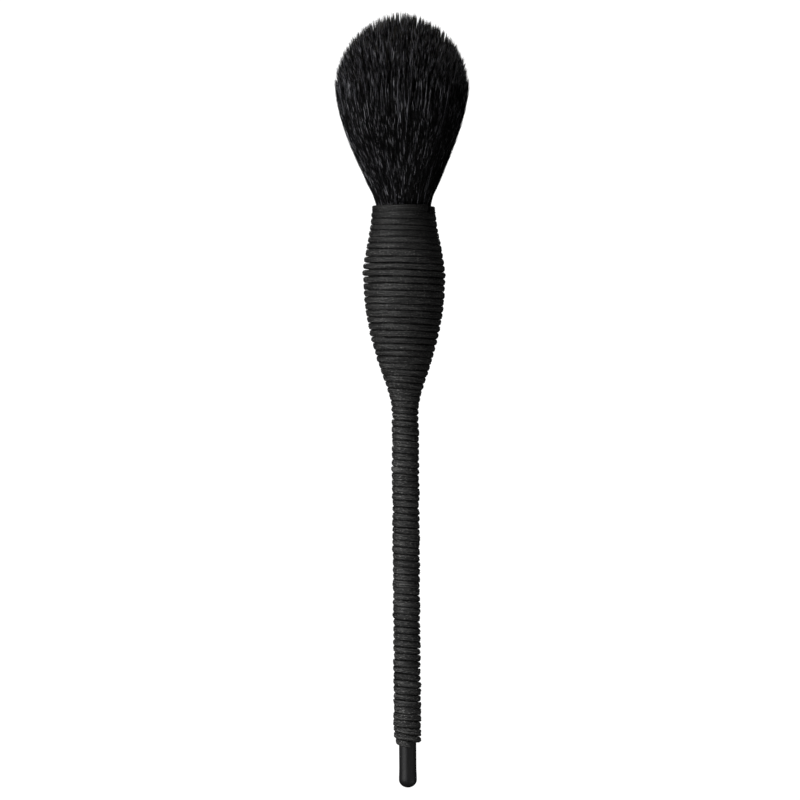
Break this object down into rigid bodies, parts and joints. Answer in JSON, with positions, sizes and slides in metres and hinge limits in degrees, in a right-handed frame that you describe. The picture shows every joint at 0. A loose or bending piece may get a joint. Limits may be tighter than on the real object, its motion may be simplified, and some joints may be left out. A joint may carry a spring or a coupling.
{
  "type": "brush",
  "caption": "Round hair brush with a full domed tuft, a swelling grip and slim stem wound with cane strand, and a bare rounded butt.",
  "frame": {"origin": "lowest point of the butt, on the brush's axis", "axes": "+Z along the brush from the butt to the crown of the tuft; the cut seam of the collar ring faces between -Y and +X"},
  "size_m": [0.0306, 0.0306, 0.184],
  "materials": {
    "lacquered_dowel": "satin black lacquer",
    "turned_wood": "turned, stained black",
    "ferrule_metal": "drawn",
    "hair": "fine black hair with a soft sheen",
    "cotton_thread": "waxed",
    "resin": "clear amber",
    "dyed_cane": "dyed black, matt with a dull sheen"
  },
  "bodies": {
    "root": {"stem_dowel": "lacquered_dowel", "grip_core": "turned_wood", "ferrule": "ferrule_metal", "hair_tuft": "hair", "root_thread": "cotton_thread", "root_resin": "resin", "collar_ring": "dyed_cane", "grip_winding": "dyed_cane", "stem_winding": "dyed_cane"}
  },
  "joints": []
}
